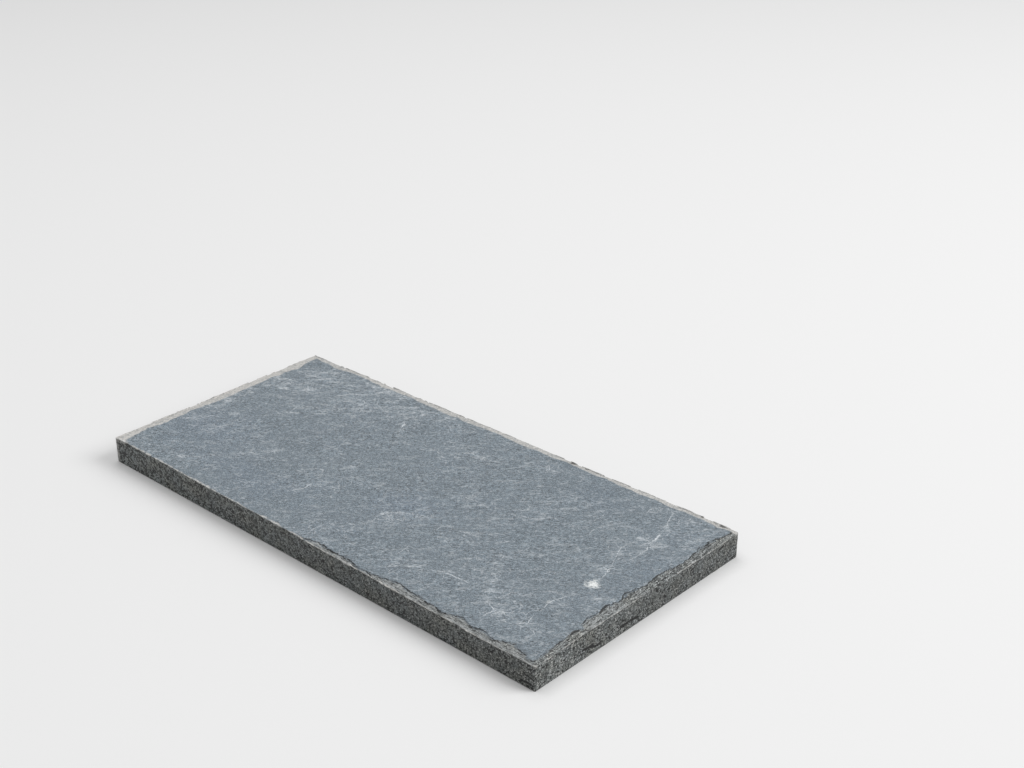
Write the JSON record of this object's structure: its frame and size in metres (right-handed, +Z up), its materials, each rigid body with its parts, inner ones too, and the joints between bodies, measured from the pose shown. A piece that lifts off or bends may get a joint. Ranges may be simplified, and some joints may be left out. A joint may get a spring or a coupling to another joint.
{
  "type": "paving slab",
  "caption": "Rectangular riven slate paving slab with a flat underside, sawn sides and upper edges that are chipped back in thin layers.",
  "frame": {"origin": "centre of the bounding box's underside, on the ground", "axes": "+X along the long sides, toward the short side that is chipped from end to end; +Y from the long side that is crisp on its left half toward the opposite long side; +Z up to the riven face"},
  "size_m": [0.6, 0.29, 0.03],
  "materials": {
    "slate": "matte"
  },
  "bodies": {
    "root": {"slate_slab": "slate"}
  },
  "joints": []
}
